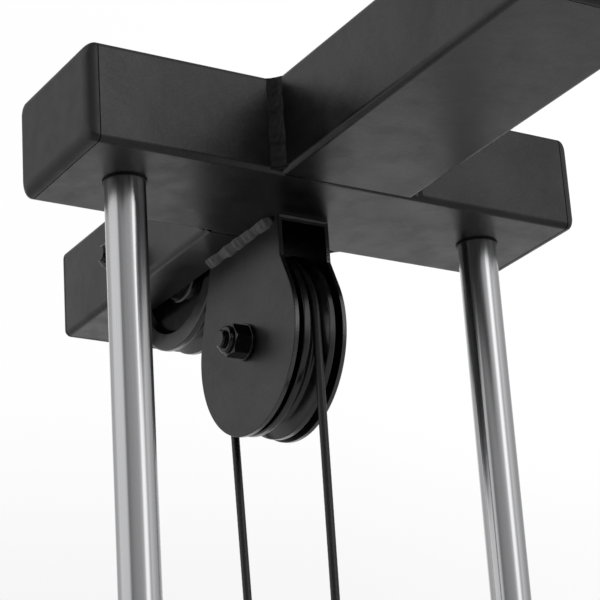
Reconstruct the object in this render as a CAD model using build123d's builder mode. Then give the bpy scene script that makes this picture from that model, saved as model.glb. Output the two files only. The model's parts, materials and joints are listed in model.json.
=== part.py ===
from build123d import *
import math
import os

os.makedirs("parts", exist_ok=True)

# Overhead cable head of a weight-stack machine: a tubular cross of crossbar, boom and
# stub, two guide rods, a pulley block under the crossbar and a second pulley in the stub.
# Millimetres. X runs along the crossbar, +Y towards the stub, +Z up.
# The origin is the middle of the crossbar's top face.

# Rectangular tube, the same section for crossbar, boom and stub
TUBE_WIDTH = 96.0
TUBE_HEIGHT = 64.0
TUBE_WALL = 2.5
TUBE_CORNER = 4.0
HALF_WIDTH = TUBE_WIDTH / 2
UNDERSIDE = -TUBE_HEIGHT
MID_HEIGHT = -TUBE_HEIGHT / 2

CROSSBAR_HALF_LENGTH = 168.2
BOOM_FRONT = -296.0
STUB_BACK = 251.9

# Moulded end caps: a domed head outside the tube and a ribbed plug inside it
CAP_REVEAL = 0.6
CAP_REVEAL_DEPTH = 1.2
CAP_HEAD = 7.5
CAP_DOME_INSET = 7.0
CAP_DOME_STEPS = 6
CAP_CORNER_GROWTH = 0.6
CAP_PLUG_DEPTH = 16.0
CAP_PLUG_WALL = 2.2
CAP_PLUG_EASE = 0.05

# Guide rods, 25.4 mm, turned down to a spigot above a shoulder, and what holds them
ROD_RADIUS = 12.7
ROD_X = 129.15
ROD_TOP = -6.0
ROD_BOTTOM = -340.0
ROD_CHAMFER = 1.5
SPIGOT_RADIUS = 12.0
ROD_HOLE_RADIUS = 12.05
COLLAR_RADIUS = 13.6
COLLAR_THICKNESS = 1.2
ROD_THREAD_RADIUS = 4.25
ROD_THREAD_DEPTH = 28.0
SOCKET_RADIUS = 18.0
SET_SCREW_RADIUS = 4.0
SET_SCREW_HOLE_RADIUS = 4.05
SET_SCREW_CHAMFER = 0.6
SET_SCREW_HEX = 4.0
SET_SCREW_HEX_DEPTH = 5.0

# Pulleys, both of one pattern: 118 mm over the flanges, 25.4 mm over the hub
PULLEY_RADIUS = 59.0
PULLEY_HALF_RIM = 11.6
PULLEY_HALF_HUB = 12.7
FLANGE_LIP = 7.1
FLANGE_ROUND = 1.2
GROOVE_BOTTOM = 51.1
GROOVE_ROUND = 3.1
RIM_INNER = 47.5
WEB_HALF = 6.0
WEB_RIM_RADIUS = 45.0
WEB_HUB_RADIUS = 24.0
WEB_FOOT_ROUND = 2.0
HUB_RADIUS = 22.0

# Ball bearings, 12 x 32 x 10
BEARING_OUTER = 16.0
BEARING_BORE = 6.0
BEARING_WIDTH = 10.0
RACE_INNER = 9.1
RACE_OUTER = 13.0
BALL_PITCH = 11.05
BALL_RADIUS = 2.9
BALL_TRACK = 3.0
BALL_COUNT = 8
SEAL_THICKNESS = 0.6
SEAL_GAP = 0.08
HUB_SHOULDER = 12.0

# M12 axle hardware
BOLT_RADIUS = 5.95
BOLT_HOLE_RADIUS = 6.05
BOLT_END_CHAMFER = 1.0
BOLT_HEAD_FLATS = 19.0
BOLT_HEAD_HEIGHT = 7.5
WASHER_RADIUS = 12.0
WASHER_THICKNESS = 2.5
WASHER_EDGE_ROUND = 0.5
NUT_FLATS = 19.0
NUT_HEX_HEIGHT = 10.5
NUT_HEIGHT = 14.0
NUT_COLLAR_RADIUS = 8.9
NUT_COLLAR_ROUND = 2.0
BOLT_PROUD = 3.3
HEX_CHAMFER_DEPTH = 1.6
HEX_CHAMFER_DROP = 2.75
TURNING_MARGIN = 1.0
SLEEVE_RADIUS = 8.7

# Pulley bracket: a folded 3 mm channel whose sides end in round cheeks
BRACKET_HALF = 18.8
BRACKET_PLATE = 3.0
BRACKET_FRONT = 7.0
BRACKET_BACK = 94.0
BRACKET_NECK = 27.0
CHEEK_RADIUS = 60.0
CHEEK_EDGE_ROUND = 0.6
FRONT_AXLE_Y = 53.8
FRONT_AXLE_Z = -133.6

# Rear pulley in its through slot
REAR_AXLE_Y = 157.0
REAR_AXLE_Z = -41.0
SLOT_HALF_WIDTH = 14.3
SLOT_FRONT = 100.0
SLOT_BACK = 221.0
SLOT_CORNER = 5.0

# Coated cable over the front pulley, and its two end fittings
CABLE_RADIUS = 2.75
CABLE_PITCH_RADIUS = 54.2
CABLE_ARC_EASE = 0.99
CABLE_ROUTE = [
    (0, -0.40, -327.00),
    (0, -0.40, -110.82),
    (0, 32.13, -78.95),
    (0, 77.68, -79.87),
    (0, 108.89, -113.05),
    (0, 101.07, -305.00),
]
FERRULE_RADIUS = 5.6
FERRULE_NECK = 4.0
FERRULE_LENGTH = 26.0
FERRULE_SHOULDER = 3.0
STUD_RADIUS = 5.0
STUD_LENGTH = 26.0
STUD_THREAD_GAP = 0.05
FITTING_CHAMFER = 0.8
JAM_NUT_FLATS = 16.0
JAM_NUT_HEIGHT = 5.0
JAM_NUT_START = 27.0
JAM_NUT_GAP = 1.0
EYE_RADIUS = 12.0
EYE_HOLE_RADIUS = 5.2
EYE_HALF_THICKNESS = 4.0
EYE_EDGE_ROUND = 1.5
EYE_OVERLAP = 2.0


def axle_plane(y, z):
    """Plane through an axle: local X along the axle, local Y radially up."""
    return Plane(origin=(0, y, z), x_dir=(1, 0, 0), z_dir=(0, -1, 0))


def side_plane(x):
    """Plane across the axles at x: local X is +Y, local Y is +Z."""
    return Plane(origin=(x, 0, 0), x_dir=(0, 1, 0), z_dir=(1, 0, 0))


def tube_end_plane(origin, outward):
    """Plane on a tube's end: local X level, local Y up, normal pointing out."""
    level = Vector(0, 0, 1).cross(Vector(outward))
    return Plane(origin=origin, x_dir=level, z_dir=outward)


def dome_section(step):
    """Width, height and corner radius of a cap head at one step of its dome."""
    angle = math.radians(90 * step / CAP_DOME_STEPS)
    inset = CAP_DOME_INSET * (1 - math.cos(angle))
    return TUBE_WIDTH - 2 * inset, TUBE_HEIGHT - 2 * inset, TUBE_CORNER + inset * CAP_CORNER_GROWTH


def circles_of(builder, radius):
    """Circular edges of one radius."""
    circles = builder.edges().filter_by(GeomType.CIRCLE)
    return circles.filter_by(lambda edge: abs(edge.radius - radius) < 0.01)


# ---------------------------------------------------------------- welded tubes

crossbar_end = tube_end_plane((-CROSSBAR_HALF_LENGTH, 0, MID_HEIGHT), (1, 0, 0))
with BuildPart() as crossbar_tube:
    with BuildSketch(crossbar_end):
        RectangleRounded(TUBE_WIDTH, TUBE_HEIGHT, TUBE_CORNER)
        RectangleRounded(
            TUBE_WIDTH - 2 * TUBE_WALL,
            TUBE_HEIGHT - 2 * TUBE_WALL,
            TUBE_CORNER - TUBE_WALL,
            mode=Mode.SUBTRACT,
        )
    extrude(amount=2 * CROSSBAR_HALF_LENGTH)
    with BuildSketch(Plane.XY.offset(UNDERSIDE)):
        with Locations((-ROD_X, 0), (ROD_X, 0)):
            Circle(ROD_HOLE_RADIUS)
    extrude(amount=TUBE_WALL, mode=Mode.SUBTRACT)
    with BuildSketch(Plane.XZ.offset(-HALF_WIDTH)):
        with Locations((-ROD_X, MID_HEIGHT), (ROD_X, MID_HEIGHT)):
            Circle(SET_SCREW_HOLE_RADIUS)
    extrude(amount=TUBE_WALL, mode=Mode.SUBTRACT)
crossbar_tube.part.label = "crossbar_tube"
export_step(crossbar_tube.part, "parts/crossbar_tube.step")

with BuildPart() as boom_tube:
    with BuildSketch(tube_end_plane((0, -HALF_WIDTH, MID_HEIGHT), (0, -1, 0))):
        RectangleRounded(TUBE_WIDTH, TUBE_HEIGHT, TUBE_CORNER)
        RectangleRounded(
            TUBE_WIDTH - 2 * TUBE_WALL,
            TUBE_HEIGHT - 2 * TUBE_WALL,
            TUBE_CORNER - TUBE_WALL,
            mode=Mode.SUBTRACT,
        )
    extrude(amount=-HALF_WIDTH - BOOM_FRONT)
boom_tube.part.label = "boom_tube"
export_step(boom_tube.part, "parts/boom_tube.step")

with BuildPart() as stub_tube:
    with BuildSketch(tube_end_plane((0, HALF_WIDTH, MID_HEIGHT), (0, 1, 0))):
        RectangleRounded(TUBE_WIDTH, TUBE_HEIGHT, TUBE_CORNER)
        RectangleRounded(
            TUBE_WIDTH - 2 * TUBE_WALL,
            TUBE_HEIGHT - 2 * TUBE_WALL,
            TUBE_CORNER - TUBE_WALL,
            mode=Mode.SUBTRACT,
        )
    extrude(amount=STUB_BACK - HALF_WIDTH)
    with BuildSketch(Plane.XY.offset(UNDERSIDE)):
        with Locations((0, (SLOT_FRONT + SLOT_BACK) / 2)):
            RectangleRounded(2 * SLOT_HALF_WIDTH, SLOT_BACK - SLOT_FRONT, SLOT_CORNER)
    extrude(amount=TUBE_HEIGHT, mode=Mode.SUBTRACT)
    with BuildSketch(side_plane(-HALF_WIDTH)):
        with Locations((REAR_AXLE_Y, REAR_AXLE_Z)):
            Circle(BOLT_HOLE_RADIUS)
    extrude(amount=TUBE_WIDTH, mode=Mode.SUBTRACT)
stub_tube.part.label = "stub_tube"
export_step(stub_tube.part, "parts/stub_tube.step")

# ---------------------------------------------------------------- end caps

cap_places = {
    "crossbar_cap_left": ((-CROSSBAR_HALF_LENGTH, 0, MID_HEIGHT), (-1, 0, 0)),
    "crossbar_cap_right": ((CROSSBAR_HALF_LENGTH, 0, MID_HEIGHT), (1, 0, 0)),
    "boom_cap": ((0, BOOM_FRONT, MID_HEIGHT), (0, -1, 0)),
    "stub_cap": ((0, STUB_BACK, MID_HEIGHT), (0, 1, 0)),
}
plug_width = TUBE_WIDTH - 2 * (TUBE_WALL + CAP_PLUG_EASE)
plug_height = TUBE_HEIGHT - 2 * (TUBE_WALL + CAP_PLUG_EASE)
for cap_name, (cap_origin, cap_outward) in cap_places.items():
    seat = tube_end_plane(cap_origin, cap_outward)
    with BuildPart() as end_cap:
        with BuildSketch(seat):
            RectangleRounded(
                TUBE_WIDTH - 2 * CAP_REVEAL_DEPTH,
                TUBE_HEIGHT - 2 * CAP_REVEAL_DEPTH,
                TUBE_CORNER - CAP_REVEAL_DEPTH,
            )
        extrude(amount=CAP_REVEAL)
        for step in range(CAP_DOME_STEPS + 1):
            rise = CAP_HEAD * math.sin(math.radians(90 * step / CAP_DOME_STEPS))
            section_width, section_height, section_corner = dome_section(step)
            with BuildSketch(seat.offset(CAP_REVEAL + rise)):
                RectangleRounded(section_width, section_height, section_corner)
        loft()
        with BuildSketch(seat):
            RectangleRounded(plug_width, plug_height, TUBE_CORNER - TUBE_WALL)
            Rectangle(
                plug_width - 2 * CAP_PLUG_WALL,
                plug_height - 2 * CAP_PLUG_WALL,
                mode=Mode.SUBTRACT,
            )
            Rectangle(plug_width, CAP_PLUG_WALL)
            with GridLocations(plug_width / 3, 0, 2, 1):
                Rectangle(CAP_PLUG_WALL, plug_height)
        extrude(amount=-CAP_PLUG_DEPTH)
    end_cap.part.label = cap_name
    export_step(end_cap.part, f"parts/{cap_name}.step")

# ---------------------------------------------------------------- guide rods

shoulder = UNDERSIDE - COLLAR_THICKNESS
for side_name, rod_x in (("left", -ROD_X), ("right", ROD_X)):
    with BuildPart() as guide_rod:
        with BuildSketch(Plane.XY.offset(ROD_BOTTOM)):
            with Locations((rod_x, 0)):
                Circle(ROD_RADIUS)
        extrude(amount=shoulder - ROD_BOTTOM)
        with BuildSketch(Plane.XY.offset(shoulder)):
            with Locations((rod_x, 0)):
                Circle(SPIGOT_RADIUS)
        extrude(amount=ROD_TOP - shoulder)
        chamfer(guide_rod.edges().group_by(Axis.Z)[0], ROD_CHAMFER)
        with BuildSketch(Plane.XY.offset(ROD_BOTTOM)):
            with Locations((rod_x, 0)):
                Circle(ROD_THREAD_RADIUS)
        extrude(amount=ROD_THREAD_DEPTH, mode=Mode.SUBTRACT)
    guide_rod.part.label = f"guide_rod_{side_name}"
    export_step(guide_rod.part, f"parts/guide_rod_{side_name}.step")

    with BuildPart() as rod_socket:
        with BuildSketch(Plane.XY.offset(UNDERSIDE + TUBE_WALL)):
            with Locations((rod_x, 0)):
                Circle(SOCKET_RADIUS)
                Circle(ROD_HOLE_RADIUS, mode=Mode.SUBTRACT)
        extrude(amount=TUBE_HEIGHT - 2 * TUBE_WALL)
        with BuildSketch(Plane.XZ.offset(-SOCKET_RADIUS)):
            with Locations((rod_x, MID_HEIGHT)):
                Circle(SET_SCREW_HOLE_RADIUS)
        extrude(amount=SOCKET_RADIUS, mode=Mode.SUBTRACT)
    rod_socket.part.label = f"rod_socket_{side_name}"
    export_step(rod_socket.part, f"parts/rod_socket_{side_name}.step")

with BuildPart() as rod_collars:
    with BuildSketch(Plane.XY.offset(shoulder)):
        with Locations((-ROD_X, 0), (ROD_X, 0)):
            Circle(COLLAR_RADIUS)
            Circle(ROD_HOLE_RADIUS, mode=Mode.SUBTRACT)
    extrude(amount=COLLAR_THICKNESS)
rod_collars.part.label = "rod_collars"
export_step(rod_collars.part, "parts/rod_collars.step")

with BuildPart() as rod_set_screws:
    with BuildSketch(Plane.XZ.offset(-SPIGOT_RADIUS)):
        with Locations((-ROD_X, MID_HEIGHT), (ROD_X, MID_HEIGHT)):
            Circle(SET_SCREW_RADIUS)
    extrude(amount=-(HALF_WIDTH - SPIGOT_RADIUS))
    chamfer(rod_set_screws.edges().group_by(Axis.Y)[-1], SET_SCREW_CHAMFER)
    with BuildSketch(Plane.XZ.offset(-HALF_WIDTH)):
        with Locations((-ROD_X, MID_HEIGHT), (ROD_X, MID_HEIGHT)):
            RegularPolygon(SET_SCREW_HEX / 2, 6, major_radius=False)
    extrude(amount=SET_SCREW_HEX_DEPTH, mode=Mode.SUBTRACT)
rod_set_screws.part.label = "rod_set_screws"
export_step(rod_set_screws.part, "parts/rod_set_screws.step")

# ---------------------------------------------------------------- pulley bracket


def tangent_point(corner_y, corner_z, side):
    """Point on the round cheek where a straight edge from the corner meets it."""
    reach_y = corner_y - FRONT_AXLE_Y
    reach_z = corner_z - FRONT_AXLE_Z
    bearing = math.atan2(reach_z, reach_y)
    swing = math.acos(CHEEK_RADIUS / math.hypot(reach_y, reach_z))
    angle = bearing + side * swing
    return (
        FRONT_AXLE_Y + CHEEK_RADIUS * math.cos(angle),
        FRONT_AXLE_Z + CHEEK_RADIUS * math.sin(angle),
    )


neck_foot = (BRACKET_FRONT, UNDERSIDE - BRACKET_NECK)
front_top = (BRACKET_FRONT, UNDERSIDE)
back_top = (BRACKET_BACK, UNDERSIDE)
front_tangent = tangent_point(*neck_foot, 1)
back_tangent = tangent_point(*back_top, -1)
cheek_bottom = (FRONT_AXLE_Y, FRONT_AXLE_Z - CHEEK_RADIUS)

with BuildPart() as pulley_bracket:
    with BuildSketch(side_plane(-BRACKET_HALF)):
        with BuildLine():
            Polyline(back_tangent, back_top, front_top, neck_foot, front_tangent)
            ThreePointArc(front_tangent, cheek_bottom, back_tangent)
        make_face()
    extrude(amount=2 * BRACKET_HALF)
    rim_edges = (
        pulley_bracket.edges()
        .filter_by_position(Axis.Z, FRONT_AXLE_Z - 2 * CHEEK_RADIUS, UNDERSIDE - BRACKET_PLATE)
        .filter_by(Axis.X, reverse=True)
    )
    fillet(rim_edges, CHEEK_EDGE_ROUND)
    with BuildSketch(Plane.XY.offset(UNDERSIDE - BRACKET_PLATE)):
        with Locations((0, FRONT_AXLE_Y)):
            Rectangle(2 * (BRACKET_HALF - BRACKET_PLATE), 4 * CHEEK_RADIUS)
    extrude(amount=-4 * CHEEK_RADIUS, mode=Mode.SUBTRACT)
    with BuildSketch(side_plane(-BRACKET_HALF)):
        with Locations((FRONT_AXLE_Y, FRONT_AXLE_Z)):
            Circle(BOLT_HOLE_RADIUS)
    extrude(amount=2 * BRACKET_HALF, mode=Mode.SUBTRACT)
pulley_bracket.part.label = "pulley_bracket"
export_step(pulley_bracket.part, "parts/pulley_bracket.step")

# ---------------------------------------------------------------- pulleys and axles

groove_wall = math.hypot(FLANGE_LIP, PULLEY_RADIUS - GROOVE_BOTTOM - GROOVE_ROUND)
groove_tilt = math.atan2(PULLEY_RADIUS - GROOVE_BOTTOM - GROOVE_ROUND, FLANGE_LIP)
groove_touch = groove_tilt - math.acos(GROOVE_ROUND / groove_wall)
groove_side = (
    GROOVE_ROUND * math.cos(groove_touch),
    GROOVE_BOTTOM + GROOVE_ROUND + GROOVE_ROUND * math.sin(groove_touch),
)

axle_sets = (
    ("front", FRONT_AXLE_Y, FRONT_AXLE_Z, BRACKET_HALF, BRACKET_PLATE),
    ("rear", REAR_AXLE_Y, REAR_AXLE_Z, HALF_WIDTH, TUBE_WALL),
)
for set_name, axle_y, axle_z, outer_face, plate in axle_sets:
    radial = axle_plane(axle_y, axle_z)
    axle = Axis((0, axle_y, axle_z), (1, 0, 0))
    inner_face = outer_face - plate
    bearing_x = PULLEY_HALF_HUB - BEARING_WIDTH

    with BuildPart() as pulley_wheel:
        with BuildSketch(radial):
            with BuildLine():
                Polyline(
                    groove_side,
                    (FLANGE_LIP, PULLEY_RADIUS),
                    (PULLEY_HALF_RIM, PULLEY_RADIUS),
                    (PULLEY_HALF_RIM, RIM_INNER),
                    (WEB_HALF, WEB_RIM_RADIUS),
                    (WEB_HALF, WEB_HUB_RADIUS),
                    (PULLEY_HALF_HUB, HUB_RADIUS),
                    (PULLEY_HALF_HUB, BEARING_OUTER),
                    (bearing_x, BEARING_OUTER),
                    (bearing_x, HUB_SHOULDER),
                    (-bearing_x, HUB_SHOULDER),
                    (-bearing_x, BEARING_OUTER),
                    (-PULLEY_HALF_HUB, BEARING_OUTER),
                    (-PULLEY_HALF_HUB, HUB_RADIUS),
                    (-WEB_HALF, WEB_HUB_RADIUS),
                    (-WEB_HALF, WEB_RIM_RADIUS),
                    (-PULLEY_HALF_RIM, RIM_INNER),
                    (-PULLEY_HALF_RIM, PULLEY_RADIUS),
                    (-FLANGE_LIP, PULLEY_RADIUS),
                    (-groove_side[0], groove_side[1]),
                )
                ThreePointArc(
                    (-groove_side[0], groove_side[1]), (0, GROOVE_BOTTOM), groove_side
                )
            make_face()
        revolve(axis=axle)
        fillet(circles_of(pulley_wheel, PULLEY_RADIUS), FLANGE_ROUND)
        fillet(circles_of(pulley_wheel, WEB_RIM_RADIUS), WEB_FOOT_ROUND)
        fillet(circles_of(pulley_wheel, WEB_HUB_RADIUS), WEB_FOOT_ROUND)
    pulley_wheel.part.label = f"{set_name}_pulley_wheel"
    export_step(pulley_wheel.part, f"parts/{set_name}_pulley_wheel.step")

    with BuildPart() as outer_rings:
        for middle in (-bearing_x - BEARING_WIDTH / 2, bearing_x + BEARING_WIDTH / 2):
            with BuildSketch(radial):
                with Locations((middle, (RACE_OUTER + BEARING_OUTER) / 2)):
                    Rectangle(BEARING_WIDTH, BEARING_OUTER - RACE_OUTER)
                with Locations((middle, BALL_PITCH)):
                    Circle(BALL_TRACK, mode=Mode.SUBTRACT)
            revolve(axis=axle)
    outer_rings.part.label = f"{set_name}_bearing_outer_rings"
    export_step(outer_rings.part, f"parts/{set_name}_bearing_outer_rings.step")

    with BuildPart() as inner_rings:
        for middle in (-bearing_x - BEARING_WIDTH / 2, bearing_x + BEARING_WIDTH / 2):
            with BuildSketch(radial):
                with Locations((middle, (RACE_INNER + BEARING_BORE) / 2)):
                    Rectangle(BEARING_WIDTH, RACE_INNER - BEARING_BORE)
                with Locations((middle, BALL_PITCH)):
                    Circle(BALL_TRACK, mode=Mode.SUBTRACT)
            revolve(axis=axle)
    inner_rings.part.label = f"{set_name}_bearing_inner_rings"
    export_step(inner_rings.part, f"parts/{set_name}_bearing_inner_rings.step")

    with BuildPart() as balls:
        for middle in (-bearing_x - BEARING_WIDTH / 2, bearing_x + BEARING_WIDTH / 2):
            for count in range(BALL_COUNT):
                turn = 2 * math.pi * count / BALL_COUNT
                ball_y = axle_y + BALL_PITCH * math.cos(turn)
                ball_z = axle_z + BALL_PITCH * math.sin(turn)
                with Locations((middle, ball_y, ball_z)):
                    Sphere(BALL_RADIUS)
    balls.part.label = f"{set_name}_bearing_balls"
    export_step(balls.part, f"parts/{set_name}_bearing_balls.step")

    with BuildPart() as seals:
        seal_middle = PULLEY_HALF_HUB - SEAL_THICKNESS
        for middle in (-seal_middle, seal_middle):
            with BuildSketch(radial):
                with Locations((middle, (RACE_INNER + SEAL_GAP + RACE_OUTER) / 2)):
                    Rectangle(SEAL_THICKNESS, RACE_OUTER - RACE_INNER - SEAL_GAP)
            revolve(axis=axle)
    seals.part.label = f"{set_name}_bearing_seals"
    export_step(seals.part, f"parts/{set_name}_bearing_seals.step")

    with BuildPart() as sleeves:
        for start, stop in (
            (-inner_face, -PULLEY_HALF_HUB),
            (-bearing_x, bearing_x),
            (PULLEY_HALF_HUB, inner_face),
        ):
            with BuildSketch(side_plane(start)):
                with Locations((axle_y, axle_z)):
                    Circle(SLEEVE_RADIUS)
                    Circle(BOLT_HOLE_RADIUS, mode=Mode.SUBTRACT)
            extrude(amount=stop - start)
    sleeves.part.label = f"{set_name}_axle_sleeves"
    export_step(sleeves.part, f"parts/{set_name}_axle_sleeves.step")

    with BuildPart() as washers:
        for start in (-outer_face - WASHER_THICKNESS, outer_face):
            with BuildSketch(side_plane(start)):
                with Locations((axle_y, axle_z)):
                    Circle(WASHER_RADIUS)
                    Circle(BOLT_HOLE_RADIUS, mode=Mode.SUBTRACT)
            extrude(amount=WASHER_THICKNESS)
        fillet(circles_of(washers, WASHER_RADIUS), WASHER_EDGE_ROUND)
    washers.part.label = f"{set_name}_axle_washers"
    export_step(washers.part, f"parts/{set_name}_axle_washers.step")

    head_seat = outer_face + WASHER_THICKNESS
    nut_seat = -outer_face - WASHER_THICKNESS
    nut_end = nut_seat - NUT_HEIGHT
    bolt_end = nut_end - BOLT_PROUD
    head_end = head_seat + BOLT_HEAD_HEIGHT
    head_corner = BOLT_HEAD_FLATS / math.sqrt(3)
    head_turned = head_corner + TURNING_MARGIN
    with BuildPart() as axle_bolt:
        with BuildSketch(side_plane(bolt_end)):
            with Locations((axle_y, axle_z)):
                Circle(BOLT_RADIUS)
        extrude(amount=head_seat - bolt_end)
        chamfer(axle_bolt.edges().group_by(Axis.X)[0], BOLT_END_CHAMFER)
        with BuildSketch(side_plane(head_seat)):
            with Locations((axle_y, axle_z)):
                RegularPolygon(head_corner, 6)
        extrude(amount=BOLT_HEAD_HEIGHT)
        with BuildSketch(radial):
            with BuildLine():
                Polyline(
                    (head_end, head_turned - HEX_CHAMFER_DROP),
                    (head_end - HEX_CHAMFER_DEPTH, head_turned),
                    (head_end + TURNING_MARGIN, head_turned),
                    (head_end + TURNING_MARGIN, head_turned - HEX_CHAMFER_DROP),
                    close=True,
                )
            make_face()
        revolve(axis=axle, mode=Mode.SUBTRACT)
    axle_bolt.part.label = f"{set_name}_axle_bolt"
    export_step(axle_bolt.part, f"parts/{set_name}_axle_bolt.step")

    nut_corner = NUT_FLATS / math.sqrt(3)
    nut_turned = nut_corner + TURNING_MARGIN
    hex_end = nut_seat - NUT_HEX_HEIGHT
    with BuildPart() as axle_nut:
        with BuildSketch(side_plane(hex_end)):
            with Locations((axle_y, axle_z)):
                RegularPolygon(nut_corner, 6)
        extrude(amount=NUT_HEX_HEIGHT)
        with BuildSketch(radial):
            with BuildLine():
                Polyline(
                    (hex_end, nut_turned - HEX_CHAMFER_DROP),
                    (hex_end + HEX_CHAMFER_DEPTH, nut_turned),
                    (hex_end - TURNING_MARGIN, nut_turned),
                    (hex_end - TURNING_MARGIN, nut_turned - HEX_CHAMFER_DROP),
                    close=True,
                )
            make_face()
        revolve(axis=axle, mode=Mode.SUBTRACT)
        with BuildSketch(side_plane(nut_end)):
            with Locations((axle_y, axle_z)):
                Circle(NUT_COLLAR_RADIUS)
        extrude(amount=NUT_HEIGHT - NUT_HEX_HEIGHT + HEX_CHAMFER_DEPTH)
        fillet(axle_nut.edges().group_by(Axis.X)[0], NUT_COLLAR_ROUND)
        with BuildSketch(side_plane(nut_end)):
            with Locations((axle_y, axle_z)):
                Circle(BOLT_HOLE_RADIUS)
        extrude(amount=NUT_HEIGHT, mode=Mode.SUBTRACT)
    axle_nut.part.label = f"{set_name}_axle_nut"
    export_step(axle_nut.part, f"parts/{set_name}_axle_nut.step")

# ---------------------------------------------------------------- cable and fittings

cable_radii = [CABLE_PITCH_RADIUS * CABLE_ARC_EASE] * (len(CABLE_ROUTE) - 2)
with BuildPart() as lift_cable:
    with BuildLine() as cable_line:
        FilletPolyline(*CABLE_ROUTE, radius=cable_radii)
    with BuildSketch(Plane(origin=CABLE_ROUTE[0], z_dir=cable_line.line % 0)):
        Circle(CABLE_RADIUS)
    sweep()
lift_cable.part.label = "lift_cable"
export_step(lift_cable.part, "parts/lift_cable.step")
cable_length = cable_line.wires()[0].length
print("cable radii", [round(radius, 2) for radius in cable_radii])
print("cable length", round(cable_length, 1))
print("cable volume", round(lift_cable.part.volume), round(math.pi * CABLE_RADIUS**2 * cable_length))

stack_end = Plane(origin=CABLE_ROUTE[0], x_dir=(1, 0, 0), z_dir=(0, 0, -1))
pull_direction = Vector(CABLE_ROUTE[-1]) - Vector(CABLE_ROUTE[-2])
pull_end = Plane(origin=CABLE_ROUTE[-1], x_dir=(1, 0, 0), z_dir=pull_direction)

with BuildPart() as stack_stud:
    with BuildSketch(stack_end):
        Circle(FERRULE_NECK)
    extrude(amount=FERRULE_LENGTH)
    with BuildSketch(stack_end.offset(FERRULE_SHOULDER)):
        Circle(FERRULE_RADIUS)
    extrude(amount=FERRULE_LENGTH - FERRULE_SHOULDER)
    chamfer(circles_of(stack_stud, FERRULE_RADIUS), FITTING_CHAMFER)
    with BuildSketch(stack_end.offset(FERRULE_LENGTH)):
        Circle(STUD_RADIUS)
    extrude(amount=STUD_LENGTH)
    chamfer(stack_stud.edges().group_by(Axis.Z)[0], FITTING_CHAMFER)
stack_stud.part.label = "stack_stud"
export_step(stack_stud.part, "parts/stack_stud.step")

with BuildPart() as stack_jam_nuts:
    for start in (JAM_NUT_START, JAM_NUT_START + JAM_NUT_HEIGHT + JAM_NUT_GAP):
        with BuildSketch(stack_end.offset(start)):
            RegularPolygon(JAM_NUT_FLATS / math.sqrt(3), 6)
            Circle(STUD_RADIUS + STUD_THREAD_GAP, mode=Mode.SUBTRACT)
        extrude(amount=JAM_NUT_HEIGHT)
stack_jam_nuts.part.label = "stack_jam_nuts"
export_step(stack_jam_nuts.part, "parts/stack_jam_nuts.step")

eye_centre = pull_end.from_local_coords((0, 0, FERRULE_LENGTH + EYE_RADIUS - EYE_OVERLAP))
with BuildPart() as pull_eye:
    with BuildSketch(side_plane(-EYE_HALF_THICKNESS)):
        with Locations((eye_centre.Y, eye_centre.Z)):
            Circle(EYE_RADIUS)
    extrude(amount=2 * EYE_HALF_THICKNESS)
    fillet(circles_of(pull_eye, EYE_RADIUS), EYE_EDGE_ROUND)
    with BuildSketch(pull_end):
        Circle(FERRULE_NECK)
    extrude(amount=FERRULE_LENGTH)
    with BuildSketch(pull_end.offset(FERRULE_SHOULDER)):
        Circle(FERRULE_RADIUS)
    extrude(amount=FERRULE_LENGTH - FERRULE_SHOULDER)
    with BuildSketch(side_plane(-EYE_HALF_THICKNESS)):
        with Locations((eye_centre.Y, eye_centre.Z)):
            Circle(EYE_HOLE_RADIUS)
    extrude(amount=2 * EYE_HALF_THICKNESS, mode=Mode.SUBTRACT)
pull_eye.part.label = "pull_eye"
export_step(pull_eye.part, "parts/pull_eye.step")
print("eye centre", [round(value, 2) for value in eye_centre])
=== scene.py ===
import json
import math

import bpy
from mathutils import Matrix, Vector, noise


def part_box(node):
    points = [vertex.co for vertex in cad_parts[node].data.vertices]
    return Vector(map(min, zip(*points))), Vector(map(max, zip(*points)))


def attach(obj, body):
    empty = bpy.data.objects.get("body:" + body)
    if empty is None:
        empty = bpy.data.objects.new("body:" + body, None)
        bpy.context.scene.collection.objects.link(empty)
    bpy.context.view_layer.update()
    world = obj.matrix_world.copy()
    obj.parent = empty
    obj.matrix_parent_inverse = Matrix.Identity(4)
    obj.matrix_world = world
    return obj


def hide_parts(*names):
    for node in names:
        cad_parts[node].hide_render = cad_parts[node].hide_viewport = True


# Overhead cable pulley head: a black powder-coated tube cross with moulded caps, chrome guide
# rods, a cheek-plate pulley block and a second pulley in the stub. Metres, in the frame's axes.
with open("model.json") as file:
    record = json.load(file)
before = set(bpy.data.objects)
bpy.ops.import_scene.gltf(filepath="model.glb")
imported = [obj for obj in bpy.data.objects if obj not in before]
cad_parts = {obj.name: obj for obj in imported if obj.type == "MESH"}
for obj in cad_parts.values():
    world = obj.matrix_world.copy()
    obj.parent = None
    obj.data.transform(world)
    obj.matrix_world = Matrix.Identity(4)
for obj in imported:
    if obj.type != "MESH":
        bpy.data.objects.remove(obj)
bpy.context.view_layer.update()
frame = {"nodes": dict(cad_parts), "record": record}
nodes = frame["nodes"]

# ---------------------------------------------------------------- places read from the frame

crossbar_low, crossbar_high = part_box("crossbar_tube")
boom_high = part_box("boom_tube")[1]
bracket_low, bracket_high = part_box("pulley_bracket")
TUBE_CORNER = 0.004
# Front and back end of the pulley block where it meets the crossbar
BRACKET_FRONT = 0.007
BRACKET_BACK = 0.094
UNDERSIDE = crossbar_low.z
TOP_FACE = crossbar_high.z
FRONT_FACE = crossbar_low.y
BACK_FACE = crossbar_high.y
BOOM_SIDE = boom_high.x


def middle(node):
    """Centre of a CAD node's box."""
    low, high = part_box(node)
    return (low + high) / 2


# ---------------------------------------------------------------- camera

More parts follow.
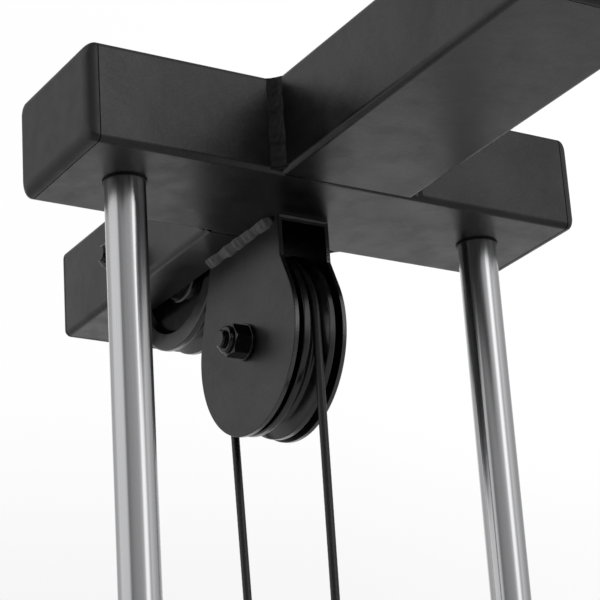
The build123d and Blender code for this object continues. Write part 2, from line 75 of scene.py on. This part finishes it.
CAMERA_AZIMUTH = math.radians(-32.248)
CAMERA_ELEVATION = math.radians(-20.95)
CAMERA_ROLL = math.radians(-3.804)
CAMERA_DISTANCE = 1.39212
CAMERA_TARGET = Vector((-0.01056, 0.0, -0.12299))
CAMERA_LENS_MM = 135.33
CAMERA_SENSOR_MM = 36.0

camera_back = Vector((
    math.sin(CAMERA_AZIMUTH) * math.cos(CAMERA_ELEVATION),
    -math.cos(CAMERA_AZIMUTH) * math.cos(CAMERA_ELEVATION),
    math.sin(CAMERA_ELEVATION),
))
level_right = (-camera_back).cross(Vector((0, 0, 1))).normalized()
level_up = level_right.cross(-camera_back)
camera_right = level_right * math.cos(CAMERA_ROLL) + level_up * math.sin(CAMERA_ROLL)
camera_up = camera_back.cross(camera_right)
camera_data = bpy.data.cameras.new("camera")
camera_data.lens = CAMERA_LENS_MM
camera_data.sensor_width = CAMERA_SENSOR_MM
camera_data.clip_start = 0.01
camera = bpy.data.objects.new("camera", camera_data)
camera.matrix_world = Matrix.Translation(CAMERA_TARGET + camera_back * CAMERA_DISTANCE) @ Matrix(
    (camera_right, camera_up, camera_back)
).transposed().to_4x4()
bpy.context.scene.collection.objects.link(camera)
bpy.context.scene.camera = camera

# ---------------------------------------------------------------- mesh helpers


def add_mesh(name, points, faces, material, smooth=True):
    """A mesh object from points and faces, in the scene."""
    mesh = bpy.data.meshes.new(name)
    mesh.from_pydata(points, [], faces)
    mesh.update()
    mesh.materials.append(material)
    for polygon in mesh.polygons:
        polygon.use_smooth = smooth
    piece = bpy.data.objects.new(name, mesh)
    bpy.context.scene.collection.objects.link(piece)
    return piece


def skin(rings):
    """Points and faces of a closed skin over rings of equally many points, with flat ends."""
    count = len(rings[0])
    points = [point for ring in rings for point in ring]
    faces = []
    for row in range(len(rings) - 1):
        for column in range(count):
            following = (column + 1) % count
            start, end = row * count, (row + 1) * count
            faces.append((start + column, start + following, end + following, end + column))
    last = (len(rings) - 1) * count
    faces.append(tuple(reversed(range(count))))
    faces.append(tuple(last + column for column in range(count)))
    return points, faces


# ---------------------------------------------------------------- finishes


class Finish:
    """A Principled material, and the node calls that the finishes below share."""

    def __init__(self, name, **sockets):
        self.material = bpy.data.materials.new(name)
        self.material.use_nodes = True
        self.tree = self.material.node_tree
        self.surface = self.tree.nodes["Principled BSDF"]
        for socket, value in sockets.items():
            self.surface.inputs[socket.replace("_", " ")].default_value = value
        place = self.tree.nodes.new("ShaderNodeTexCoord")
        self.place = place.outputs["Object"]
        self.facing = place.outputs["Normal"]
        self.bump_normal = None

    def link(self, value, socket):
        """Connects an output, or sets a constant."""
        if isinstance(value, (int, float)):
            socket.default_value = value
        else:
            self.tree.links.new(value, socket)

    def math(self, operation, first, second=0.0):
        """One arithmetic step on outputs or constants."""
        node = self.tree.nodes.new("ShaderNodeMath")
        node.operation = operation
        self.link(first, node.inputs[0])
        self.link(second, node.inputs[1])
        return node.outputs[0]

    def split(self, vector):
        """The X, Y and Z of a vector."""
        node = self.tree.nodes.new("ShaderNodeSeparateXYZ")
        self.tree.links.new(vector, node.inputs[0])
        return node.outputs

    def stretched(self, scale):
        """Object coordinates, multiplied by a scale for each axis."""
        node = self.tree.nodes.new("ShaderNodeMapping")
        node.inputs["Scale"].default_value = scale
        self.tree.links.new(self.place, node.inputs["Vector"])
        return node.outputs["Vector"]

    def noise(self, scale, detail=3.0, roughness=0.5, vector=None):
        """Noise about 0.5, with scale in features per metre."""
        node = self.tree.nodes.new("ShaderNodeTexNoise")
        node.inputs["Scale"].default_value = scale
        node.inputs["Detail"].default_value = detail
        node.inputs["Roughness"].default_value = roughness
        self.tree.links.new(vector or self.place, node.inputs["Vector"])
        return node.outputs["Fac"]

    def cells(self, scale):
        """Distance to the nearest cell centre, with scale in cells per metre."""
        node = self.tree.nodes.new("ShaderNodeTexVoronoi")
        node.inputs["Scale"].default_value = scale
        self.tree.links.new(self.place, node.inputs["Vector"])
        return node.outputs["Distance"]

    def span(self, value, low, high, to_low, to_high):
        """Maps low..high onto to_low..to_high, held at the ends."""
        node = self.tree.nodes.new("ShaderNodeMapRange")
        node.inputs["From Min"].default_value = low
        node.inputs["From Max"].default_value = high
        node.inputs["To Min"].default_value = to_low
        node.inputs["To Max"].default_value = to_high
        self.tree.links.new(value, node.inputs["Value"])
        return node.outputs["Result"]

    def tint(self, value, low, high, dark, light):
        """Base colour from dark, where the value is low, to light, where it is high."""
        node = self.tree.nodes.new("ShaderNodeMix")
        node.data_type = "RGBA"
        colour_inputs = [socket for socket in node.inputs if socket.type == "RGBA"]
        colour_inputs[0].default_value = (*dark, 1)
        colour_inputs[1].default_value = (*light, 1)
        self.tree.links.new(self.span(value, low, high, 0, 1), node.inputs["Factor"])
        colour_output = [socket for socket in node.outputs if socket.type == "RGBA"][0]
        self.tree.links.new(colour_output, self.surface.inputs["Base Color"])

    def emboss(self, height, depth):
        """Adds a bump of that depth in metres on top of the ones before it."""
        node = self.tree.nodes.new("ShaderNodeBump")
        node.inputs["Strength"].default_value = 1.0
        node.inputs["Distance"].default_value = depth
        self.tree.links.new(height, node.inputs["Height"])
        if self.bump_normal:
            self.tree.links.new(self.bump_normal, node.inputs["Normal"])
        self.bump_normal = node.outputs["Normal"]
        self.tree.links.new(self.bump_normal, self.surface.inputs["Normal"])

    def set(self, socket, value):
        """Drives one of the surface's inputs with an output."""
        self.tree.links.new(value, self.surface.inputs[socket])


def powder_coat(name, cut_edges=False):
    """Satin black powder coat: orange peel, fine grit and cloudy patches.

    With cut_edges, the faces round the plate's rim show the rough cut under the coat."""
    finish = Finish(name)
    clouds = finish.math("MULTIPLY", finish.noise(22, detail=5, roughness=0.6), 0.6)
    grit = finish.noise(1300, detail=2)
    tone = finish.math("ADD", clouds, finish.math("MULTIPLY", grit, 0.4))
    finish.tint(tone, 0.38, 0.62, (0.0010, 0.0010, 0.0012), (0.0045, 0.0045, 0.0048))
    blotches = finish.noise(45, detail=6, roughness=0.62)
    roughness = finish.span(blotches, 0.32, 0.68, 0.28, 0.43)
    gloss = finish.span(tone, 0.38, 0.62, 0.55, 0.79)
    finish.emboss(finish.noise(240, detail=4), 0.00005)
    finish.emboss(finish.noise(650, detail=2), 0.00003)
    finish.emboss(grit, 0.000015)
    if cut_edges:
        sideways = finish.math("ABSOLUTE", finish.split(finish.facing)["X"])
        rim = finish.span(sideways, 0.4, 0.8, 1, 0)
        roughness = finish.math("MULTIPLY", roughness, finish.span(rim, 0, 1, 1, 0.55))
        gloss = finish.math("ADD", gloss, finish.math("MULTIPLY", rim, 0.9))
        finish.emboss(finish.math("MULTIPLY", rim, finish.noise(900, detail=3)), 0.0001)
    finish.set("Roughness", roughness)
    finish.set("Specular IOR Level", gloss)
    return finish.material


def weld_coat(name, specular):
    """The same coat over a weld bead, with its own gloss."""
    finish = Finish(name, Specular_IOR_Level=specular)
    grit = finish.noise(900, detail=4)
    finish.tint(grit, 0.35, 0.65, (0.0015, 0.0015, 0.0017), (0.005, 0.005, 0.0053))
    finish.set("Roughness", finish.span(finish.noise(300), 0.3, 0.7, 0.30, 0.46))
    finish.emboss(finish.noise(420, detail=4), 0.00022)
    return finish.material


def moulded_cap():
    """Moulded black polyethylene with a fine spark-eroded grain."""
    finish = Finish("cap_plastic", Specular_IOR_Level=0.6)
    finish.tint(finish.noise(30, detail=3), 0.3, 0.7, (0.005, 0.005, 0.0056), (0.009, 0.009, 0.0096))
    finish.set("Roughness", finish.span(finish.noise(90, detail=4), 0.3, 0.7, 0.42, 0.50))
    finish.emboss(finish.cells(1700), 0.00002)
    finish.emboss(finish.noise(500, detail=3), 0.00003)
    return finish.material


def chrome():
    """Ground hard chrome: fine marks round the rod spread its reflections lengthwise."""
    finish = Finish("chrome_rod", Metallic=1.0, Anisotropic=0.9, Anisotropic_Rotation=0.25)
    streaks = finish.noise(1.0, detail=4, vector=finish.stretched((900, 900, 9)))
    finish.tint(streaks, 0.3, 0.7, (0.58, 0.58, 0.59), (0.64, 0.64, 0.655))
    finish.set("Roughness", finish.span(streaks, 0.3, 0.7, 0.17, 0.22))
    round_the_rod = finish.tree.nodes.new("ShaderNodeTangent")
    round_the_rod.direction_type = "RADIAL"
    round_the_rod.axis = "Z"
    finish.set("Tangent", round_the_rod.outputs["Tangent"])
    finish.emboss(streaks, 0.000002)
    return finish.material


def black_fastener():
    """Glossy black plated steel with a soft mottle."""
    finish = Finish("black_zinc", Specular_IOR_Level=0.55)
    mottle = finish.noise(350, detail=4)
    finish.tint(mottle, 0.35, 0.65, (0.0015, 0.0015, 0.0018), (0.005, 0.005, 0.0055))
    finish.set("Roughness", finish.span(mottle, 0.3, 0.7, 0.08, 0.16))
    finish.emboss(finish.noise(500, detail=2), 0.00003)
    return finish.material


RINGS_PER_METRE = 1400


def pulley_nylon(name, centre):
    """Satin moulded nylon with faint turning rings about the axle."""
    finish = Finish(name, Specular_IOR_Level=0.9)
    parts = finish.split(finish.place)
    across = finish.math("SUBTRACT", parts["Y"], centre.y)
    upward = finish.math("SUBTRACT", parts["Z"], centre.z)
    across_squared = finish.math("MULTIPLY", across, across)
    upward_squared = finish.math("MULTIPLY", upward, upward)
    radius = finish.math("SQRT", finish.math("ADD", across_squared, upward_squared))
    rings = finish.math("SINE", finish.math("MULTIPLY", radius, 2 * math.pi * RINGS_PER_METRE))
    marks = finish.math("MULTIPLY", rings, finish.noise(90, detail=2))
    wear = finish.noise(140, detail=5)
    finish.tint(wear, 0.35, 0.7, (0.002, 0.002, 0.0023), (0.008, 0.008, 0.0085))
    finish.set("Roughness", finish.span(wear, 0.3, 0.7, 0.16, 0.27))
    finish.emboss(marks, 0.000006)
    finish.emboss(finish.noise(700, detail=3), 0.00002)
    return finish.material


def plated_steel():
    """Bright zinc plate with a soft spangle."""
    finish = Finish("plain_steel", Metallic=1.0)
    spangle = finish.cells(260)
    finish.tint(spangle, 0.1, 0.8, (0.42, 0.43, 0.44), (0.60, 0.60, 0.61))
    finish.set("Roughness", finish.span(finish.noise(200, detail=4), 0.3, 0.7, 0.24, 0.36))
    finish.emboss(finish.noise(900, detail=3), 0.00001)
    return finish.material


def ground_steel():
    """Fine-ground bearing steel."""
    finish = Finish("bearing_steel", Metallic=1.0)
    grind = finish.noise(1.0, detail=3, vector=finish.stretched((2500, 300, 300)))
    finish.tint(grind, 0.3, 0.7, (0.50, 0.50, 0.52), (0.64, 0.64, 0.66))
    finish.set("Roughness", finish.span(grind, 0.3, 0.7, 0.14, 0.24))
    finish.emboss(grind, 0.000004)
    return finish.material


def nitrile():
    """Matt black nitrile rubber with a faint bloom."""
    finish = Finish("seal_rubber", Specular_IOR_Level=0.3)
    bloom = finish.noise(220, detail=4)
    finish.tint(bloom, 0.3, 0.7, (0.012, 0.012, 0.012), (0.028, 0.027, 0.026))
    finish.set("Roughness", finish.span(bloom, 0.3, 0.7, 0.55, 0.7))
    finish.emboss(finish.noise(1500, detail=2), 0.00002)
    return finish.material


def coated_cable():
    """Black nylon coat over wire rope: the strands show through as faint relief."""
    finish = Finish("cable_jacket", Specular_IOR_Level=0.5)
    scuffs = finish.noise(500, detail=5)
    finish.tint(scuffs, 0.4, 0.75, (0.007, 0.007, 0.008), (0.022, 0.022, 0.024))
    finish.set("Roughness", finish.span(scuffs, 0.3, 0.7, 0.28, 0.42))
    finish.emboss(finish.noise(1600, detail=3), 0.00003)
    return finish.material


finishes = {
    "black_powder_coat": powder_coat("black_powder_coat"),
    "cap_plastic": moulded_cap(),
    "chrome_rod": chrome(),
    "plain_steel": plated_steel(),
    "black_zinc": black_fastener(),
    "bearing_steel": ground_steel(),
    "seal_rubber": nitrile(),
    "cable_jacket": coated_cable(),
    "coated_weld": weld_coat("coated_weld", 0.95),
    "dull_weld": weld_coat("dull_weld", 0.28),
}
own_finishes = {
    f"{place}_pulley_wheel": pulley_nylon(f"{place}_pulley_nylon", middle(f"{place}_pulley_wheel"))
    for place in ("front", "rear")
}
own_finishes["pulley_bracket"] = powder_coat("bracket_powder_coat", cut_edges=True)
for subpart in frame["record"]["subparts"]:
    node_name = subpart["node"]
    finish = own_finishes.get(node_name) or finishes[subpart["material_slot"]]
    for material_slot in nodes[node_name].material_slots:
        material_slot.material = finish

# ---------------------------------------------------------------- cable

CABLE_ROUTE = [
    (0, -0.00040, -0.32700),
    (0, -0.00040, -0.15600),
    (0, -0.00040, -0.11082),
    (0, 0.03213, -0.07895),
    (0, 0.07768, -0.07987),
    (0, 0.10889, -0.11305),
    (0, 0.10708, -0.15750),
    (0, 0.10107, -0.30500),
]
CABLE_DIAMETER = 0.0055
CABLE_STEP = 0.0009
CABLE_SIDES = 28
STRANDS = 7
STRAND_RELIEF = 0.00007
STRAND_LAY = 0.030


def spline_points(route):
    """Points along the smooth spline that has the route as its control points."""
    curve = bpy.data.curves.new("cable_line", "CURVE")
    curve.dimensions = "3D"
    spline = curve.splines.new("NURBS")
    spline.points.add(len(route) - 1)
    for point, place in zip(spline.points, route):
        point.co = (*place, 1)
    spline.order_u = 3
    spline.use_endpoint_u = True
    spline.resolution_u = 64
    line = bpy.data.objects.new("cable_line", curve)
    bpy.context.scene.collection.objects.link(line)
    mesh = bpy.data.meshes.new_from_object(line)
    points = [vertex.co.copy() for vertex in mesh.vertices]
    bpy.data.objects.remove(line)
    bpy.data.meshes.remove(mesh)
    return points


def evenly(points, step):
    """The same line, with points a step apart."""
    spaced, left = [points[0]], step
    for start, end in zip(points, points[1:]):
        run = (end - start).length
        while run > 0 and left <= run:
            spaced.append(start.lerp(end, left / run))
            left += step
        left -= run
    if (points[-1] - spaced[-1]).length < step / 2:
        spaced.pop()
    return spaced + [points[-1]]


def rope_rings(points):
    """Rings across the line, with the strands as low lobes that turn along it."""
    rings, travelled = [], 0.0
    for index, point in enumerate(points):
        before, after = points[max(index - 1, 0)], points[min(index + 1, len(points) - 1)]
        tangent = (after - before).normalized()
        sideways = Vector((1, 0, 0))
        outward = sideways.cross(tangent)
        if index:
            travelled += (point - points[index - 1]).length
        twist = 2 * math.pi * travelled / STRAND_LAY
        ring = []
        for side in range(CABLE_SIDES):
            angle = 2 * math.pi * side / CABLE_SIDES
            lobe = abs(math.sin(STRANDS * (angle - twist) / 2))
            radius = CABLE_DIAMETER / 2 - STRAND_RELIEF * (1 - lobe)
            ring.append(point + (sideways * math.cos(angle) + outward * math.sin(angle)) * radius)
        rings.append(ring)
    return rings


cable_points = evenly(spline_points(CABLE_ROUTE), CABLE_STEP)
cable = add_mesh("lift_cable_rope", *skin(rope_rings(cable_points)), finishes["cable_jacket"])
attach(cable, "root")
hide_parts("lift_cable")

# ---------------------------------------------------------------- weld beads

WELD_STEP = 0.0005
WELD_BURY = 0.0006
WELD_OUTLINE = 14
WELD_CROWN = 0.03
WELD_RIPPLE = 0.008
WELD_GRAIN = 0.035
RIPPLE_BOW = 0.45
RIPPLE_SHARPNESS = 0.7
ROOT_SWAY = 0.15
LUMP_SHARE = 0.4
# Noise features per metre along the bead, and across it
SWAY_SCALE = 90
LUMP_SCALE = 260
GRAIN_SCALE = 330
GRAIN_ACROSS = 5


def fillet_bead(name, start, end, face_a, face_b, leg, pitch, seed,
                wander=0.16, blunt=0.25, crown=WELD_CROWN, finish="coated_weld"):
    """A hand-laid fillet weld from start to end, in the corner between two faces.

    face_a and face_b are unit directions out of the corner, each along one face. pitch is the
    spacing of the ripples, wander is how unevenly the bead's width runs, blunt is how little its
    ends thin out, and crown is how far it bulges."""
    start, end = Vector(start), Vector(end)
    face_a, face_b = Vector(face_a), Vector(face_b)
    along = end - start
    steps = max(8, round(along.length / WELD_STEP))
    rings = []
    for step in range(steps + 1):
        travelled = along.length * step / steps
        slow = noise.noise(Vector((travelled * SWAY_SCALE, seed, 0)))
        lump = noise.noise(Vector((travelled * LUMP_SCALE, seed, 5)))
        to_end = min(travelled, along.length - travelled)
        taper = min(1.0, to_end / leg + blunt) ** 0.5
        size = leg * taper * (1 + wander * slow + LUMP_SHARE * wander * lump)
        root = start.lerp(end, step / steps) + face_b * (ROOT_SWAY * leg * slow)
        root -= (face_a + face_b) * WELD_BURY
        ring = [root]
        for column in range(WELD_OUTLINE):
            turn = column / (WELD_OUTLINE - 1)
            phase = travelled / pitch + RIPPLE_BOW * (2 * turn - 1) ** 2
            ripple = abs(math.sin(math.pi * phase)) ** RIPPLE_SHARPNESS
            grain = noise.noise(Vector((travelled * GRAIN_SCALE, turn * GRAIN_ACROSS, seed)))
            height = crown + WELD_RIPPLE * ripple + WELD_GRAIN * grain
            rise = leg * math.sin(math.pi * turn) * height
            offset = face_a * (1 - turn) + face_b * turn
            ring.append(root + offset * (size + WELD_BURY) + (face_a + face_b) * rise)
        rings.append(ring)
    bead = add_mesh(name, *skin(rings), finishes[finish])
    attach(bead, "root")
    return bead


LEFT, RIGHT = (-1, 0, 0), (1, 0, 0)
FRONT, BACK, DOWN = (0, -1, 0), (0, 1, 0), (0, 0, -1)
WELD_END = 0.0015

for side, bead_x, direction in (("left", bracket_low.x, LEFT), ("right", bracket_high.x, RIGHT)):
    fillet_bead(
        f"weld_bracket_{side}",
        (bead_x, BRACKET_FRONT + 0.008, UNDERSIDE), (bead_x, BRACKET_BACK + 0.002, UNDERSIDE),
        direction, DOWN, leg=0.0055, pitch=0.0120, seed=3 + bead_x, wander=0.14,
    )
    fillet_bead(
        f"weld_bracket_end_{side}",
        (bead_x, BRACKET_FRONT + 0.0060, UNDERSIDE), (bead_x, BRACKET_FRONT + 0.015, UNDERSIDE),
        direction, DOWN, leg=0.0058, pitch=0.0080, seed=7 + bead_x, wander=0.20,
    )
fillet_bead(
    "weld_bracket_front",
    (bracket_low.x + 0.001, BRACKET_FRONT, UNDERSIDE),
    (bracket_high.x - 0.001, BRACKET_FRONT, UNDERSIDE),
    FRONT, DOWN, leg=0.0016, pitch=0.0030, seed=5,
)
for side, direction in (("left", LEFT), ("right", RIGHT)):
    bead_x = math.copysign(BOOM_SIDE, direction[0])
    fillet_bead(
        f"weld_boom_{side}",
        (bead_x, FRONT_FACE, TOP_FACE - WELD_END), (bead_x, FRONT_FACE, UNDERSIDE + WELD_END),
        direction, FRONT, leg=0.0078, pitch=0.0110, seed=11 + bead_x, wander=0.05, blunt=0.8,
        crown=-0.06, finish="dull_weld",
    )
    fillet_bead(
        f"weld_stub_{side}",
        (bead_x, BACK_FACE, TOP_FACE - WELD_END), (bead_x, BACK_FACE, UNDERSIDE + WELD_END),
        direction, BACK, leg=0.0070, pitch=0.0110, seed=21 + bead_x, wander=0.05, blunt=0.8,
        crown=-0.06, finish="dull_weld",
    )


SEAM_STEPS = 160
SEAM_DIP = 0.00012
SEAM_DIP_WANDER = 0.00010
GAP_WANDER = 0.00012
GAP_LEAST = 0.00005
SEAM_BURY = 0.0004
SEAM_DIP_SCALE = 160
GAP_SCALE = 300


def ground_seam(name, face_y, toward_y, face_z, inward_z, gap_start, gap_end, seed):
    """A butt weld ground flush in the groove between the crossbar's rounded edge and a tube.

    It runs along X between the tube's rounded corners. The gap is the hairline left open at
    the tube's end, from its left end to its right end."""
    half = BOOM_SIDE - TUBE_CORNER
    rings = []
    for step in range(SEAM_STEPS + 1):
        share = step / SEAM_STEPS
        x = -half + 2 * half * step / SEAM_STEPS
        gap = gap_start + (gap_end - gap_start) * share
        gap = max(GAP_LEAST, gap + GAP_WANDER * noise.noise(Vector((x * GAP_SCALE, seed, 0))))
        dip = SEAM_DIP + SEAM_DIP_WANDER * noise.noise(Vector((x * SEAM_DIP_SCALE, seed, 3)))
        edge = face_y - toward_y * gap
        inner = face_y - toward_y * (TUBE_CORNER + SEAM_BURY)
        ring = [
            Vector((x, inner, face_z + inward_z * 0.00002)),
            Vector((x, (edge + inner) / 2, face_z + inward_z * dip)),
            Vector((x, edge, face_z + inward_z * dip * 1.6)),
            Vector((x, edge, face_z + inward_z * TUBE_CORNER)),
            Vector((x, face_y - toward_y * TUBE_CORNER * 0.5, face_z + inward_z * TUBE_CORNER)),
            Vector((x, inner, face_z + inward_z * 0.0012)),
        ]
        rings.append(ring)
    seam = add_mesh(name, *skin(rings), finishes["black_powder_coat"], smooth=False)
    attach(seam, "root")
    return seam


ground_seam("seam_boom_under", FRONT_FACE, -1, UNDERSIDE, 1, 0.0014, 0.0036, seed=31)
ground_seam("seam_boom_top", FRONT_FACE, -1, TOP_FACE, -1, 0.0001, 0.0004, seed=32)
ground_seam("seam_stub_under", BACK_FACE, 1, UNDERSIDE, 1, 0.0002, 0.0003, seed=33)
ground_seam("seam_stub_top", BACK_FACE, 1, TOP_FACE, -1, 0.0001, 0.0004, seed=34)

# ---------------------------------------------------------------- floor and studio light

FLOOR_LEVEL = -2.1
FLOOR_SIDE = 3.5
FLOOR_FRONT = -4.0
FLOOR_BACK = 3.4


def floor_finish():
    """Plain pale floor."""
    finish = Finish("pale_floor", Roughness=0.85, Specular_IOR_Level=0.2)
    finish.tint(finish.noise(2, detail=3), 0.0, 1.0, (0.60, 0.60, 0.60), (0.66, 0.66, 0.66))
    return finish.material


floor_points = [
    (-FLOOR_SIDE, FLOOR_FRONT, FLOOR_LEVEL),
    (FLOOR_SIDE, FLOOR_FRONT, FLOOR_LEVEL),
    (FLOOR_SIDE, FLOOR_BACK, FLOOR_LEVEL),
    (-FLOOR_SIDE, FLOOR_BACK, FLOOR_LEVEL),
]
floor = add_mesh("floor", floor_points, [(0, 1, 2, 3)], floor_finish())

# Brightness of the studio round the horizon, by degrees to the camera's right of its back
STUDIO = (
    (-180, 1.00), (-160, 0.98), (-140, 0.50), (-112, 0.58), (-94, 0.90), (-50, 0.92), (-43, 0.70),
    (-37, 0.24), (-20, 0.36), (0, 0.44), (22, 0.50), (35, 0.75), (43, 1.75), (55, 1.70), (62, 0.84),
    (68, 0.60), (77, 0.86), (90, 0.66), (120, 0.42), (148, 0.55), (162, 0.99), (173, 1.04), (180, 1.00),
)
OVERHEAD = 0.25
OVERHEAD_FROM, OVERHEAD_TO = 0.55, 0.95
LOW_DIMMING = 0.92
DIMMING_FROM, DIMMING_TO = 0.21, 0.34
FRONT_DIMMING = 0.20
FRONT_FROM, FRONT_TO = -0.1, 0.6
BELOW_FROM, BELOW_TO = 0.20, -0.10


def studio_world():
    """A white studio with a broad softbox at the left, a strip at the right and a dim middle."""
    world = bpy.data.worlds.new("studio")
    world.use_nodes = True
    tree = world.node_tree
    link = tree.links.new

    def calculate(operation, first, second=None):
        node = tree.nodes.new("ShaderNodeMath")
        node.operation = operation
        for socket, value in zip(node.inputs, (first, second)):
            if isinstance(value, (int, float)):
                socket.default_value = value
            elif value is not None:
                link(value, socket)
        return node.outputs[0]

    place = tree.nodes.new("ShaderNodeTexCoord")
    parts = tree.nodes.new("ShaderNodeSeparateXYZ")
    link(place.outputs["Generated"], parts.inputs[0])

    def rising(value, start, stop, low, high):
        """Goes smoothly from low to high as the value goes from start to stop."""
        node = tree.nodes.new("ShaderNodeMapRange")
        node.interpolation_type = "SMOOTHSTEP"
        node.inputs["From Min"].default_value = start
        node.inputs["From Max"].default_value = stop
        node.inputs["To Min"].default_value = low
        node.inputs["To Max"].default_value = high
        link(value, node.inputs["Value"])
        return node.outputs["Result"]

    height = parts.outputs["Z"]
    heading = calculate("ARCTAN2", parts.outputs["Y"], parts.outputs["X"])
    behind_camera = math.atan2(camera_back.y, camera_back.x)
    turns = calculate("DIVIDE", calculate("SUBTRACT", heading, behind_camera), 2 * math.pi)
    # Half a turn puts the camera's back at the ramp's middle, and two whole ones keep it positive
    share = calculate("FRACT", calculate("ADD", turns, 2.5))
    ramp = tree.nodes.new("ShaderNodeValToRGB").color_ramp
    ramp_node = tree.nodes[-1]
    brightest = max(brightness for degrees, brightness in STUDIO)
    while len(ramp.elements) < len(STUDIO):
        ramp.elements.new(1.0)
    for element, (degrees, brightness) in zip(ramp.elements, STUDIO):
        element.position = (degrees + 180) / 360
        element.color = (*[brightness / brightest] * 3, 1)
    link(share, ramp_node.inputs["Fac"])
    around = calculate("MULTIPLY", ramp_node.outputs["Color"], brightest)
    low_down = rising(height, DIMMING_FROM, DIMMING_TO, LOW_DIMMING, 1)
    around = calculate("MULTIPLY", around, low_down)
    toward_x = calculate("MULTIPLY", parts.outputs["X"], camera_back.x)
    toward_y = calculate("MULTIPLY", parts.outputs["Y"], camera_back.y)
    facing = calculate("ADD", toward_x, toward_y)
    front = rising(facing, FRONT_FROM, FRONT_TO, 0, 1 - FRONT_DIMMING)
    front_below = calculate("MULTIPLY", front, rising(height, BELOW_FROM, BELOW_TO, 0, 1))
    around = calculate("MULTIPLY", around, calculate("SUBTRACT", 1.0, front_below))
    mix = tree.nodes.new("ShaderNodeMix")
    link(rising(height, OVERHEAD_FROM, OVERHEAD_TO, 0, 1), mix.inputs["Factor"])
    link(around, mix.inputs["A"])
    mix.inputs["B"].default_value = OVERHEAD
    background = tree.nodes["Background"]
    link(mix.outputs["Result"], background.inputs["Color"])
    background.inputs["Strength"].default_value = 1.0
    bpy.context.scene.world = world


studio_world()
bpy.context.scene.view_settings.view_transform = "Standard"
